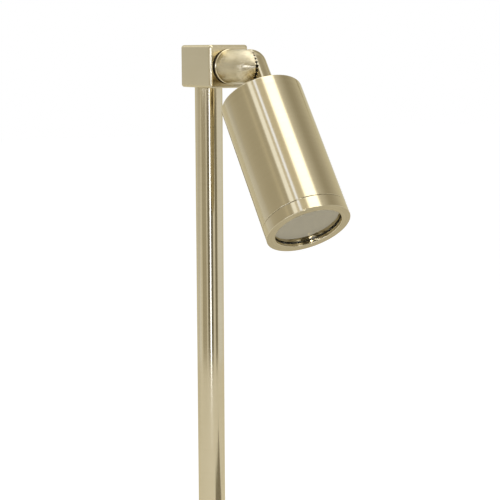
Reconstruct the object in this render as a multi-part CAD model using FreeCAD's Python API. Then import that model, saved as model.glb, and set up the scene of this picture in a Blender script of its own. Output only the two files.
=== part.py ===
import FreeCAD, Part
import math
import os

# Brass path light: an adjustable spotlight on a pole with a ground spike.
# Frame: +Z up, origin on the pole's axis at the ground line, the lamp reaches out along -Y.
# All sizes are in millimetres.

Vec = FreeCAD.Vector
ORIGIN = Vec(0, 0, 0)
X = Vec(1, 0, 0)
Y = Vec(0, 1, 0)
Z = Vec(0, 0, 1)

# Clearances: fixed and screwed fits, turning fits, flat faces that turn past each other, toothed faces,
# and loose pieces in a bore
fit_gap = 0.1
turn_gap = 0.06
face_gap = 0.1
seam_gap = 0.2
loose_gap = 0.2

# How far a cutting tool runs past the face that it opens, and how close an edge lies to a plane to be on it
overrun = 1.0
tiny = 0.01

# Pole
pole_d = 21.3
pole_wall = 2.0
pole_rise = 468.0
pole_in_spike = 22.0
pole_top_gap = 0.5
lock_nut_wall = 4.35
lock_nut_t = 7.0

# Block that carries the lamp
block_width = 32.0
block_height = 32.0
block_front = 35.0
block_back = 16.0
block_edge_r = 2.2
block_chamber_d = 15.0
block_chamber_rise = 7.0
grub_d = 6.0
grub_length = 4.6
grub_tip_bevel = 0.75
grub_socket = 3.0
grub_socket_depth = 2.2

# Ground spike and the cable's way in
spike_depth = 190.0
spike_flange_d = 56.0
spike_flange_t = 4.0
spike_flange_r = 1.5
spike_hub_d = 36.0
spike_hub_floor = 6.0
spike_chamber_d = 16.0
spike_chamber_depth = 20.0
spike_fin_span = 46.0
spike_fin_t = 4.0
spike_fin_shoulder = 14.0
spike_fin_straight = 40.0
spike_fin_turn = 45.0
spike_tip_span = 7.0
spike_tip_length = 9.0
spike_core_d = 13.0
cable_bore_d = 7.2
grommet_wall = 1.9
grommet_flange_width = 2.0
grommet_flange_t = 2.0
grommet_edge_r = 0.7

# Knuckle: two round bars with ball ends, milled to a half lap and clamped by one screw
knuckle_d = 25.4
knuckle_reach = 32.5
knuckle_tongue = 20.0
knuckle_edge_r = 0.6
knuckle_seam_x = -1.2
knuckle_lap_bevel = 0.8
knuckle_seal_t = 1.7
knuckle_seal_inset = 0.1
knuckle_collar_t = 1.6
knuckle_collar_step = 0.4
knuckle_collar_bevel = 0.5
stem_d = 16.0
stem_in_block = 13.0
tooth_count = 28
tooth_turn = 3.2
tooth_depth = 0.9
tooth_fill = 0.72
tooth_ring_inner_d = 18.0
tooth_runout = 0.8
pivot_boss_d = 10.0
wire_pocket_depth = 4.0
wire_duct_d = 5.0
wire_duct_offset = 4.8
wire_duct_lap = 6.0
wire_bore_web = 2.4
clamp_screw_d = 6.0
clamp_screw_bite = 9.0
clamp_head_d = 10.0
clamp_head_t = 4.0
clamp_head_r = 0.5
clamp_socket = 5.0
clamp_socket_depth = 2.4
clamp_seat_x = 5.5
clamp_seat_web = 1.2
clamp_washer_rim = 0.5
clamp_washer_t = 1.2
rest_tilt = 52.0

# Lamp: its diameter sets the head's
lamp_d = 49.6
lamp_length = 46.0
lamp_side_gap = 1.0
lamp_rim_t = 6.0
lamp_rim_width = 2.2
lamp_base_d = 20.0
lamp_base_t = 6.0
lamp_cup_bulge = 3.0
lamp_lens_t = 2.2
lamp_lens_ledge = 1.5
lamp_cavity_depth = 22.0
lamp_cavity_floor_d = 18.0
led_edge_gap = 1.5
led_t = 1.6
led_chip_d = 9.0
led_chip_t = 0.8
pin_d = 1.55
pin_length = 7.0
pin_root = 3.0
pin_spacing = 5.33

# Lamp head, its front ring, glass and seals
head_length = 108.0
head_setback = 29.5
head_wall = 3.0
head_rear_wall = 6.0
head_rear_r = 0.6
head_seal_t = 1.0
head_stem_inside = 8.0
stem_nut_wall = 3.0
stem_nut_t = 5.0
ring_length = 9.0
ring_spigot_length = 9.0
ring_spigot_wall = 1.1
ring_lip_width = 2.05
ring_lip_t = 2.4
ring_front_r = 0.6
ring_opening_bevel = 0.5
seam_bevel = 0.4
o_ring_d = 1.4
gasket_t = 0.7
gasket_setback = 0.25
glass_t = 4.0

# Lamp holder and what carries it
holder_length = 24.0
holder_width = 13.0
holder_t = 14.0
holder_edge_r = 1.5
plate_end_margin = 4.5
plate_width = 15.0
plate_t = 1.5
plate_stem_gap = 5.0
plate_corner_r = 3.75
post_d = 6.0
post_side_gap = 0.3
post_screw_d = 3.0
post_screw_length = 8.0
post_screw_head_d = 5.6
post_screw_head_t = 2.0
post_screw_slot = 0.8
post_screw_slot_depth = 1.0

# Leads
lead_d = 5.5
lead_side_gap = 0.5
lead_bend_r = 8.0
lead_end_gap = 2.0
wire_d = 2.2
wire_side_gap = 0.7
wire_tail = 3.0

# Block and pole, worked out
block_mid_z = pole_rise + block_height / 2
wire_hole_d = lead_d + 2 * lead_side_gap
pole_top = block_mid_z - wire_hole_d / 2 - pole_top_gap
pole_bore_d = pole_d - 2 * pole_wall
pole_socket_d = pole_d + 2 * fit_gap
grub_z = (pole_rise + pole_top) / 2
lock_nut_flats = pole_d + 2 * lock_nut_wall

# Spike, worked out
spike_hub_depth = pole_in_spike + spike_chamber_depth + spike_hub_floor
chamber_floor_z = -pole_in_spike - spike_chamber_depth
port_mid = Vec(0, 0, -pole_in_spike - spike_chamber_depth / 2)
port_d = cable_bore_d + 2 * grommet_wall
grommet_flange_d = port_d + 2 * grommet_flange_width
port_seat_y = math.sqrt((spike_hub_d / 2) ** 2 - (grommet_flange_d / 2) ** 2)

# Knuckle, worked out
knuckle_r = knuckle_d / 2
pivot = Vec(0, -block_front - knuckle_reach, block_mid_z)
seam_low_x = knuckle_seam_x - seam_gap / 2
seam_high_x = knuckle_seam_x + seam_gap / 2
seal_d = knuckle_d - 2 * knuckle_seal_inset
stem_hole_d = stem_d + 2 * fit_gap
base_foot = face_gap + knuckle_seal_t
base_shoulder = knuckle_reach - knuckle_tongue
lap_length = knuckle_tongue + knuckle_d
clamp_washer_d = clamp_head_d + 2 * clamp_washer_rim
clamp_seat_d = clamp_washer_d + 2 * loose_gap
clamp_washer_x = clamp_seat_x + face_gap
clamp_head_x = clamp_washer_x + clamp_washer_t

# Head, ring and lamp, worked out: distances run from the head's rear face along the lamp's axis
ring_bore_d = lamp_d + 2 * lamp_side_gap
ring_opening_d = ring_bore_d - 2 * ring_lip_width
spigot_d = ring_bore_d + 2 * ring_spigot_wall
shell_bore_d = spigot_d + 2 * fit_gap
head_d = shell_bore_d + 2 * head_wall
shell_length = head_length - ring_length
o_ring_rebate = o_ring_d + loose_gap
lip_back = head_length - ring_lip_t
gasket_front = lip_back - face_gap
gasket_back = gasket_front - gasket_t
gasket_inner_d = ring_opening_d + 2 * gasket_setback
glass_back = gasket_back - glass_t
glass_d = ring_bore_d - 2 * loose_gap
stem_end = head_rear_wall + head_stem_inside
stem_nut_flats = stem_d + 2 * stem_nut_wall
stem_bore_d = pin_spacing + wire_d + 2 * wire_side_gap
plate_back = stem_end + plate_stem_gap
holder_back = plate_back + plate_t
lamp_base_end = holder_back + holder_t
lamp_face = lamp_base_end + lamp_length
lamp_lens_d = lamp_d - 2 * lamp_rim_width
cavity_floor = lamp_face - lamp_cavity_depth
led_d = lamp_cavity_floor_d - 2 * led_edge_gap
pin_hole_d = pin_d + 2 * fit_gap
post_row = max(holder_length + post_screw_head_d, stem_nut_flats * 2 / math.sqrt(3) + post_d)
post_spacing = post_row + 2 * post_side_gap
plate_length = post_spacing + 2 * plate_end_margin
post_hole_d = post_screw_d + 2 * fit_gap

# Placements: the knuckle's bar starts on the block's front face, the head's axis starts at the tilt axis
KNUCKLE_FRAME = FreeCAD.Placement(Vec(0, -block_front, block_mid_z), FreeCAD.Rotation(X, 90))
HEAD_FRAME = FreeCAD.Placement(pivot, FreeCAD.Rotation(X, 90 + rest_tilt))
HEAD_REAR_FRAME = HEAD_FRAME.multiply(FreeCAD.Placement(Vec(0, 0, head_setback), FreeCAD.Rotation()))


def place(shape, frame):
    """The shape moved from its own axis to a placement."""
    return shape.transformed(frame.toMatrix(), True)


def rod(diameter, start, end, centre=ORIGIN):
    """A round bar along Z between two heights."""
    return Part.makeCylinder(diameter / 2, end - start, centre + Vec(0, 0, start), Z)


def tube(outer_d, inner_d, start, end):
    """A round tube along Z between two heights."""
    return rod(outer_d, start, end).cut(rod(inner_d, start - overrun, end + overrun))


def bar_along(axis, diameter, start, end, centre):
    """A round bar along any axis, between two distances from a centre."""
    return Part.makeCylinder(diameter / 2, end - start, centre + axis * start, axis)


def hexagon(flats, start, end, axis=Z, centre=ORIGIN):
    """A hexagonal prism, measured across its flats."""
    corner_r = flats / math.sqrt(3)
    side = Y if axis.isEqual(X, tiny) else X
    other = axis.cross(side)
    corners = []
    for i in range(7):
        turn = math.radians(60 * i)
        corners.append(centre + axis * start + (side * math.cos(turn) + other * math.sin(turn)) * corner_r)
    return Part.Face(Part.makePolygon(corners)).extrude(axis * (end - start))


def turned(edges):
    """A solid turned about Z from a closed outline in the XZ plane."""
    face = Part.Face(Part.Wire(edges))
    return face.revolve(ORIGIN, Z, 360)


def outline(points):
    """Straight edges through (radius, height) points, closed."""
    path = [Vec(r, 0, z) for r, z in points]
    path.append(path[0])
    return [Part.makeLine(a, b) for a, b in zip(path, path[1:])]


def nut(flats, bore_d, start, thickness):
    """A hexagon nut with turned-down corners on both faces."""
    corner_r = flats / math.sqrt(3)
    flat_r = flats / 2
    drop = (corner_r - flat_r) / math.sqrt(3)
    end = start + thickness
    blank = outline([(0, start), (flat_r, start), (corner_r, start + drop), (corner_r, end - drop),
                     (flat_r, end), (0, end)])
    body = hexagon(flats, start, end).common(turned(blank))
    return body.cut(rod(bore_d, start - overrun, end + overrun))


def bullet(length_to_end, end_radius):
    """A round bar along Z from its foot to a ball end centred on the given height."""
    foot = Vec(0, 0, 0)
    rim = Vec(end_radius, 0, 0)
    tangent = Vec(end_radius, 0, length_to_end)
    middle = Vec(end_radius * math.cos(math.pi / 4), 0, length_to_end + end_radius * math.sin(math.pi / 4))
    tip = Vec(0, 0, length_to_end + end_radius)
    edges = [Part.makeLine(foot, rim), Part.makeLine(rim, tangent),
             Part.Arc(tangent, middle, tip).toShape(), Part.makeLine(tip, foot)]
    return turned(edges)


def soften_foot(bar):
    """The bar with the edge round its foot rounded."""
    edges = [e for e in bar.Edges if abs(e.BoundBox.ZMax) < tiny and e.BoundBox.ZLength < tiny]
    return bar.makeFillet(knuckle_edge_r, edges)


def tooth_groove(angle, side):
    """One radial V groove across a joint face, cut towards the given side of the seam."""
    face_x = seam_low_x if side < 0 else seam_high_x
    half_mouth = math.pi / tooth_count * tooth_fill
    along = Vec(0, math.cos(angle), math.sin(angle))
    across = Vec(0, -math.sin(angle), math.cos(angle))
    ends = []
    for r in (tooth_ring_inner_d / 2 - tooth_runout, knuckle_r + tooth_runout):
        depth = tooth_depth * r / knuckle_r
        mouth = 2 * r * math.tan(half_mouth)
        top = Vec(face_x - side * depth, 0, 0) + along * r
        bottom = Vec(face_x + side * depth, 0, 0) + along * r
        ends.append((top + across * mouth, top - across * mouth, bottom))
    (a1, b1, c1), (a2, b2, c2) = ends
    loops = [(a1, b1, c1), (a2, c2, b2), (a1, a2, b2, b1), (b1, b2, c2, c1), (c1, c2, a2, a1)]
    faces = [Part.Face(Part.makePolygon(list(loop) + [loop[0]])) for loop in loops]
    groove = Part.Solid(Part.Shell(faces))
    if groove.Volume < 0:
        groove.reverse()
    return groove


def joint_face_cuts(side):
    """Toothed ring and the wire pocket round the tilt axis, for one half, about the origin."""
    pitch = 2 * math.pi / tooth_count
    first = -math.radians(tooth_turn)
    start = Vec(seam_low_x if side < 0 else seam_high_x, 0, 0)
    pocket = Part.makeCylinder(tooth_ring_inner_d / 2, wire_pocket_depth, start, X * side)
    boss = Part.makeCylinder(pivot_boss_d / 2, wire_pocket_depth, start, X * side)
    grooves = [tooth_groove(first + pitch * i, side) for i in range(tooth_count)]
    return [pocket.cut(boss)] + grooves


def spike_fin(turn):
    """One pointed plate of the spike, through its axis, turned about Z."""
    top = -spike_flange_t
    shoulder = top - spike_fin_shoulder
    straight = shoulder - spike_fin_straight
    tip = -spike_depth
    half = spike_fin_span / 2
    right = [(spike_hub_d / 2, top), (half, shoulder), (half, straight),
             (spike_tip_span / 2, tip + spike_tip_length)]
    left = [(-x, z) for x, z in reversed(right)]
    path = [Vec(x, -spike_fin_t / 2, z) for x, z in right + [(0, tip)] + left]
    plate = Part.Face(Part.makePolygon(path + [path[0]])).extrude(Vec(0, spike_fin_t, 0))
    plate.rotate(ORIGIN, Z, turn)
    return plate


def ground_spike():
    """Moulded stake: a flange on the ground line, a hub round the pole's foot and four fins."""
    flange = rod(spike_flange_d, -spike_flange_t, 0)
    rim = [e for e in flange.Edges if e.BoundBox.ZMin > -tiny]
    flange = flange.makeFillet(spike_flange_r, rim)
    hub = rod(spike_hub_d, -spike_hub_depth, -spike_flange_t)
    core_length = spike_depth - spike_tip_length - spike_hub_depth
    core = Part.makeCone(spike_core_d / 2, spike_fin_t / 2, core_length, Vec(0, 0, -spike_hub_depth), -Z)
    fins = [spike_fin(spike_fin_turn), spike_fin(spike_fin_turn + 90)]
    body = flange.multiFuse([hub, core] + fins).removeSplitter()
    socket = rod(pole_socket_d, -pole_in_spike, overrun)
    chamber = rod(spike_chamber_d, chamber_floor_z, overrun - pole_in_spike)
    port = bar_along(Y, port_d, 0, spike_hub_d, port_mid)
    seat = bar_along(Y, grommet_flange_d + 2 * loose_gap, port_seat_y, spike_hub_d, port_mid)
    return body.cut([socket, chamber, port, seat])


def cable_grommet():
    """Rubber grommet in the hub's side, where the supply cable comes in."""
    front_y = port_seat_y + grommet_flange_t
    neck = bar_along(Y, port_d - 2 * fit_gap, spike_chamber_d / 2 + fit_gap, port_seat_y, port_mid)
    flange = bar_along(Y, grommet_flange_d, port_seat_y, front_y, port_mid)
    rim = [e for e in flange.Edges if e.BoundBox.YMin > front_y - tiny]
    flange = flange.makeFillet(grommet_edge_r, rim)
    bore = bar_along(Y, cable_bore_d, 0, spike_hub_d, port_mid)
    return neck.fuse(flange).removeSplitter().cut(bore)


def lock_nut():
    """Nut that locks the pole on the spike."""
    return nut(lock_nut_flats, pole_socket_d, 0, lock_nut_t)


def pole():
    """Round pole from the spike's socket up into the block."""
    return tube(pole_d, pole_bore_d, -pole_in_spike, pole_top)


def lamp_block():
    """Square bar on top of the pole, bored for the pole, the knuckle's stem and the lead."""
    corner = Vec(-block_width / 2, -block_front, pole_rise)
    body = Part.makeBox(block_width, block_front + block_back, block_height, corner)
    body = body.makeFillet(block_edge_r, body.Edges)
    socket = rod(pole_socket_d, pole_rise - overrun, pole_top)
    chamber = rod(block_chamber_d, pole_top - overrun, block_mid_z + block_chamber_rise)
    front = Vec(0, -block_front, block_mid_z)
    stem_hole = bar_along(Y, stem_d + 2 * turn_gap, -overrun, stem_in_block + face_gap, front)
    wire_hole = bar_along(Y, wire_hole_d, 0, block_front, front)
    grub_hole = bar_along(Y, grub_d + 2 * fit_gap, 0, block_back + overrun, Vec(0, 0, grub_z))
    return body.cut([socket, chamber, stem_hole, wire_hole, grub_hole])


def grub_screw():
    """Socket set screw in the block's back that bears on the pole."""
    centre = Vec(0, 0, grub_z)
    tip_y = pole_d / 2 + fit_gap
    end_y = tip_y + grub_length
    body = bar_along(Y, grub_d, tip_y, end_y, centre)
    tip = [e for e in body.Edges if e.BoundBox.YMax < tip_y + tiny]
    body = body.makeChamfer(grub_tip_bevel, tip)
    return body.cut(hexagon(grub_socket, end_y - grub_socket_depth, end_y + overrun, Y, centre))


def supply_lead():
    """Sheathed lead inside the pole, bent into the knuckle's stem."""
    low = Vec(0, 0, chamber_floor_z + lead_end_gap)
    bend_start = Vec(0, 0, block_mid_z - lead_bend_r)
    inside = lead_bend_r * (1 - math.sin(math.pi / 4))
    bend_middle = Vec(0, -inside, block_mid_z - inside)
    bend_end = Vec(0, -lead_bend_r, block_mid_z)
    high = Vec(0, -block_front - knuckle_seal_t, block_mid_z)
    bend = Part.Arc(bend_start, bend_middle, bend_end).toShape()
    path = Part.Wire([Part.makeLine(low, bend_start), bend, Part.makeLine(bend_end, high)])
    section = Part.Wire([Part.makeCircle(lead_d / 2, low, Z)])
    return path.makePipeShell([section], True, False)


def knuckle_seal():
    """Flat seal between the block's face and the knuckle."""
    return place(tube(seal_d, stem_hole_d, face_gap, base_foot), KNUCKLE_FRAME)


def knuckle_base():
    """Fixed half of the knuckle: stem, collar, round bar and the tongue on the -X side of the seam."""
    bar = bullet(knuckle_reach - base_foot, knuckle_r)
    bar.translate(Vec(0, 0, base_foot))
    collar_end = base_foot + knuckle_collar_t
    collar = rod(knuckle_d + 2 * knuckle_collar_step, base_foot, collar_end)
    front_edge = [e for e in collar.Edges if e.BoundBox.ZMin > collar_end - tiny]
    collar = collar.makeChamfer(knuckle_collar_bevel, front_edge)
    stem = rod(stem_d, -stem_in_block, base_foot)
    lap = Part.makeBox(knuckle_d, 2 * knuckle_d, lap_length, Vec(seam_low_x, -knuckle_d, base_shoulder))
    bore_end = base_shoulder - wire_bore_web
    bore = rod(wire_hole_d, -stem_in_block - overrun, bore_end)
    duct_end = knuckle_reach - pivot_boss_d / 2
    duct = rod(wire_duct_d, bore_end - wire_duct_lap, duct_end, Vec(-wire_duct_offset, 0, 0))
    at_pivot = Vec(0, 0, knuckle_reach)
    thread_end = clamp_screw_bite + fit_gap - knuckle_seam_x
    thread = bar_along(-X, clamp_screw_d + 2 * fit_gap, 0, thread_end, at_pivot)
    cuts = [lap, bore, duct, thread]
    for cut in joint_face_cuts(-1):
        cut.rotate(ORIGIN, X, -90)
        cut.translate(at_pivot)
        cuts.append(cut)
    return place(bar.multiFuse([collar, stem]).removeSplitter().cut(cuts), KNUCKLE_FRAME)


def clamp_screw():
    """Low-head socket screw that clamps the two halves of the knuckle."""
    top = clamp_head_x + clamp_head_t
    shank = bar_along(X, clamp_screw_d, knuckle_seam_x - clamp_screw_bite, clamp_head_x, pivot)
    head = bar_along(X, clamp_head_d, clamp_head_x, top, pivot)
    rim = [e for e in head.Edges if e.BoundBox.XMin > top - tiny]
    head = head.makeFillet(clamp_head_r, rim)
    socket = hexagon(clamp_socket, top - clamp_socket_depth, top + overrun, X, pivot)
    return shank.fuse(head).removeSplitter().cut(socket)


def clamp_washer():
    """Washer under the clamp screw's head."""
    disc = bar_along(X, clamp_washer_d, clamp_washer_x, clamp_head_x, pivot)
    hole = bar_along(X, clamp_screw_d + 2 * fit_gap, clamp_washer_x - overrun, clamp_head_x + overrun, pivot)
    return disc.cut(hole)


def knuckle_head():
    """Tilting half of the knuckle: the tongue on the +X side, round bar and the stem into the head."""
    foot = head_setback - head_seal_t
    bar = soften_foot(bullet(foot, knuckle_r))
    bar.rotate(ORIGIN, X, 180)
    bar.translate(Vec(0, 0, foot))
    top = head_setback + stem_end
    body = bar.fuse(rod(stem_d, foot, top)).removeSplitter()
    lap_corner = Vec(seam_high_x - knuckle_d, -knuckle_d, knuckle_tongue - lap_length)
    body = body.cut(Part.makeBox(knuckle_d, 2 * knuckle_d, lap_length, lap_corner))
    flat_edges = [e for e in body.Edges if e.BoundBox.XLength < tiny]
    lap_edges = [e for e in flat_edges if abs(e.BoundBox.XMin - seam_high_x) < tiny]
    rim = [e for e in lap_edges if e.BoundBox.ZMin < knuckle_tongue - tiny]
    body = body.makeChamfer(knuckle_lap_bevel, rim)
    bore = rod(stem_bore_d, knuckle_tongue + wire_bore_web, top + overrun)
    duct = rod(wire_duct_d, clamp_seat_d / 2 + clamp_seat_web, foot, Vec(wire_duct_offset, 0, 0))
    hole = bar_along(X, clamp_screw_d + 2 * turn_gap, -knuckle_d, knuckle_d, ORIGIN)
    seat = bar_along(X, clamp_seat_d, clamp_seat_x, knuckle_d, ORIGIN)
    cuts = [bore, duct, hole, seat]
    for cut in joint_face_cuts(1):
        cut.rotate(ORIGIN, X, -90 - rest_tilt)
        cuts.append(cut)
    return place(body.cut(cuts), HEAD_FRAME)


def head_seal():
    """Flat seal between the knuckle and the head's rear wall."""
    return place(tube(seal_d, stem_hole_d, -head_seal_t, 0), HEAD_REAR_FRAME)


def rounded(radius, corner_r, corner_z, inwards):
    """A quarter-round edge on a turned outline, from its side to its end face."""
    middle = radius * (1 - math.sin(math.pi / 4))
    side = Vec(corner_r, 0, corner_z + inwards * radius)
    halfway = Vec(corner_r - middle, 0, corner_z + inwards * middle)
    end = Vec(corner_r - radius, 0, corner_z)
    return Part.Arc(side, halfway, end).toShape()


def turned_with_rounding(arc, points):
    """A turned solid whose outline is one arc and the straight edges that close it."""
    path = [Vec(r, 0, z) for r, z in points]
    return turned([arc] + [Part.makeLine(a, b) for a, b in zip(path, path[1:])])


def head_shell():
    """Turned housing: closed at the rear, open at the front where the ring screws in."""
    r = head_d / 2
    bore_r = shell_bore_d / 2
    rebate_r = bore_r + o_ring_rebate
    rebate_z = shell_length - o_ring_rebate
    hole_r = stem_hole_d / 2
    points = [(r - head_rear_r, 0), (hole_r, 0), (hole_r, head_rear_wall), (bore_r, head_rear_wall),
              (bore_r, rebate_z), (rebate_r, rebate_z), (rebate_r, shell_length),
              (r - seam_bevel, shell_length), (r, shell_length - seam_bevel), (r, head_rear_r)]
    return place(turned_with_rounding(rounded(head_rear_r, r, 0, 1), points), HEAD_REAR_FRAME)


def stem_nut():
    """Nut inside the head that holds the knuckle's stem."""
    return place(nut(stem_nut_flats, stem_hole_d, head_rear_wall, stem_nut_t), HEAD_REAR_FRAME)


def front_ring():
    """Screw-in ring with an inward lip that holds the glass."""
    r = head_d / 2
    back = shell_length + seam_gap
    spigot_back = shell_length - ring_spigot_length
    open_r = ring_opening_d / 2
    bore_r = ring_bore_d / 2
    spigot_r = spigot_d / 2
    points = [(r - ring_front_r, head_length), (open_r + ring_opening_bevel, head_length),
              (open_r, head_length - ring_opening_bevel), (open_r, lip_back), (bore_r, lip_back),
              (bore_r, spigot_back), (spigot_r, spigot_back), (spigot_r, back), (r - seam_bevel, back),
              (r, back + seam_bevel), (r, head_length - ring_front_r)]
    return place(turned_with_rounding(rounded(ring_front_r, r, head_length, -1), points), HEAD_REAR_FRAME)


def ring_seal():
    """O-ring in the rebate behind the ring's shoulder."""
    centre_r = (shell_bore_d + o_ring_d) / 2
    centre_z = shell_length + seam_gap - face_gap - o_ring_d / 2
    return place(Part.makeTorus(centre_r, o_ring_d / 2, Vec(0, 0, centre_z), Z), HEAD_REAR_FRAME)


def lens_gasket():
    """Black gasket between the ring's lip and the glass."""
    return place(tube(glass_d, gasket_inner_d, gasket_back, gasket_front), HEAD_REAR_FRAME)


def lens_glass():
    """Flat toughened glass."""
    return place(rod(glass_d, glass_back, gasket_back), HEAD_REAR_FRAME)


def pin_places():
    """Centres of the lamp's two contact pins."""
    return [Vec(0, pin_spacing / 2 * side, 0) for side in (-1, 1)]


def post_places():
    """Centres of the two posts that carry the lamp holder."""
    return [Vec(post_spacing / 2 * side, 0, 0) for side in (-1, 1)]


def lamp_body():
    """Reflector lamp's body: a flared cup on a round base, with two pin holes."""
    r = lamp_d / 2
    base_r = lamp_base_d / 2
    lens_r = lamp_lens_d / 2 + fit_gap
    lens_seat = lamp_face - lamp_lens_t
    low = Vec(base_r, 0, lamp_base_end + lamp_base_t)
    high = Vec(r, 0, lamp_face - lamp_rim_t)
    outwards = Vec(high.z - low.z, 0, low.x - high.x).normalize()
    cup = Part.Arc(low, (low + high) * 0.5 + outwards * lamp_cup_bulge, high).toShape()
    points = [(r, high.z), (r, lamp_face), (lens_r, lamp_face), (lens_r, lens_seat),
              (lens_r - lamp_lens_ledge, lens_seat), (lamp_cavity_floor_d / 2, cavity_floor),
              (0, cavity_floor), (0, lamp_base_end), (base_r, lamp_base_end), (base_r, low.z)]
    body = turned_with_rounding(cup, points)
    holes = [rod(pin_hole_d, lamp_base_end - overrun, lamp_base_end + pin_root, at) for at in pin_places()]
    return place(body.cut(holes), HEAD_REAR_FRAME)


def lamp_pins():
    """Two contact pins, from the lamp's base into the holder."""
    pins = [rod(pin_d, lamp_base_end - pin_length, lamp_base_end + pin_root, at) for at in pin_places()]
    return place(Part.makeCompound(pins), HEAD_REAR_FRAME)


def lamp_lens():
    """Frosted front of the lamp."""
    return place(rod(lamp_lens_d, lamp_face - lamp_lens_t, lamp_face), HEAD_REAR_FRAME)


def led_module():
    """Light source on the floor of the lamp's cup."""
    board_top = cavity_floor + led_t
    board = rod(led_d, cavity_floor, board_top)
    return place(board.fuse(rod(led_chip_d, board_top, board_top + led_chip_t)), HEAD_REAR_FRAME)


def lamp_holder():
    """Ceramic two-pin holder."""
    corner = Vec(-holder_length / 2, -holder_width / 2, holder_back)
    body = Part.makeBox(holder_length, holder_width, holder_t, corner)
    uprights = [e for e in body.Edges if e.BoundBox.ZLength > holder_t - tiny]
    body = body.makeFillet(holder_edge_r, uprights)
    hole_end = lamp_base_end - pin_length - fit_gap
    holes = [rod(pin_hole_d, hole_end, lamp_base_end + overrun, at) for at in pin_places()]
    return place(body.cut(holes), HEAD_REAR_FRAME)


def holder_plate():
    """Steel strip that carries the holder on the two posts."""
    corner = Vec(-plate_length / 2, -plate_width / 2, plate_back)
    body = Part.makeBox(plate_length, plate_width, plate_t, corner)
    uprights = [e for e in body.Edges if e.BoundBox.ZLength > plate_t - tiny]
    body = body.makeFillet(plate_corner_r, uprights)
    cuts = [rod(stem_bore_d, plate_back - overrun, holder_back + overrun)]
    cuts += [rod(post_hole_d, plate_back - overrun, holder_back + overrun, at) for at in post_places()]
    return place(body.cut(cuts), HEAD_REAR_FRAME)


def holder_posts():
    """Two tapped posts from the head's rear wall to the plate."""
    hole_end = holder_back - post_screw_length - fit_gap
    posts = []
    for at in post_places():
        post = rod(post_d, head_rear_wall, plate_back, at)
        posts.append(post.cut(rod(post_hole_d, hole_end, plate_back + overrun, at)))
    return place(Part.makeCompound(posts), HEAD_REAR_FRAME)


def holder_screws():
    """Two slotted screws that hold the plate on its posts."""
    top = holder_back + post_screw_head_t
    screws = []
    for at in post_places():
        shank = rod(post_screw_d, holder_back - post_screw_length, holder_back, at)
        head = rod(post_screw_head_d, holder_back, top, at)
        slot_corner = at + Vec(-post_screw_head_d, -post_screw_slot / 2, top - post_screw_slot_depth)
        slot = Part.makeBox(2 * post_screw_head_d, post_screw_slot, post_screw_head_t, slot_corner)
        screws.append(shank.fuse(head).removeSplitter().cut(slot))
    return place(Part.makeCompound(screws), HEAD_REAR_FRAME)


def head_wires():
    """Two insulated wires from the holder back into the knuckle's stem."""
    wires = [rod(wire_d, -wire_tail, holder_back, at) for at in pin_places()]
    return place(Part.makeCompound(wires), HEAD_REAR_FRAME)


MAKERS = [
    ground_spike, cable_grommet, lock_nut, pole, lamp_block, grub_screw, supply_lead,
    knuckle_seal, knuckle_base, clamp_screw, clamp_washer,
    knuckle_head, head_seal, head_shell, stem_nut, holder_posts, holder_plate, holder_screws,
    lamp_holder, lamp_body, lamp_pins, lamp_lens, led_module, head_wires,
    lens_glass, lens_gasket, front_ring, ring_seal,
]


def main():
    """Writes one STEP file for each piece, named after it."""
    os.makedirs("parts", exist_ok=True)
    for make in MAKERS:
        shape = make()
        sound = all(s.isValid() and s.Volume > 0 for s in shape.Solids)
        print(f"{make.__name__}: {len(shape.Solids)} solid(s), {shape.Volume:.1f} mm3, valid {sound}")
        shape.exportStep(f"parts/{make.__name__}.step")


main()
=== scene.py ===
import math

import bmesh
import bpy
from mathutils import Matrix, Vector


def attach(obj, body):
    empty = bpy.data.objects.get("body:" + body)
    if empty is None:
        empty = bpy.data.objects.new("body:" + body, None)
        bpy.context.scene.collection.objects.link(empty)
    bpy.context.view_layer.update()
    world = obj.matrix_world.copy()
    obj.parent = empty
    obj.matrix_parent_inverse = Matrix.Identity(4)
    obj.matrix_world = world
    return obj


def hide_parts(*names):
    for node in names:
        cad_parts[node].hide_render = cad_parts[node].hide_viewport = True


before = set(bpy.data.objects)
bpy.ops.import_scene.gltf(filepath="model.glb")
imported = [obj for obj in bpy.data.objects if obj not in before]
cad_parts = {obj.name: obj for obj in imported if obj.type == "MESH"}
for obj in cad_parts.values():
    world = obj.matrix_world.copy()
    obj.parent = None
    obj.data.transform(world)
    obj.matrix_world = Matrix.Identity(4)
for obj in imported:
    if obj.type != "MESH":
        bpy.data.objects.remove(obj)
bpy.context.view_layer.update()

# Brass path light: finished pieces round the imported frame, a plain studio and the photograph's camera.
# Sizes are the part's own, in millimetres, and meshes are made in metres.
mm = 0.001

# Pole, block and foot
pole_r = 10.65
pole_wall = 2.0
pole_foot = -22.0
pole_top = 480.25
pole_end_r = 0.3
socket_gap = 0.1
block_half = 16.0
block_front = 35.0
block_back = 16.0
block_low = 468.0
block_mid = 484.0
block_high = 500.0
block_edge_r = 2.2
grub_hole_r = 3.1
grub_hole_z = 474.125
hole_bevel = 0.5
nut_flats = 30.0
nut_height = 7.0
flange_r = 28.0
flange_t = 4.0
hub_r = 18.0
hub_depth = 48.0
chamber_r = 8.0
chamber_floor = -42.0
fin_half = 23.0
fin_t = 4.0
fin_count = 4
fin_turn = 45.0
fin_shoulder = -18.0
fin_straight = -58.0
fin_tip_half = 3.5
fin_tip_z = -181.0
core_tip_r = 1.8
spike_tip = -190.0
core_r = 6.5
port_z = -32.0
port_r = 5.5
port_seat = 16.371
port_flange_r = 7.5
port_flange_t = 2.0
cable_bore_r = 3.6

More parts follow.
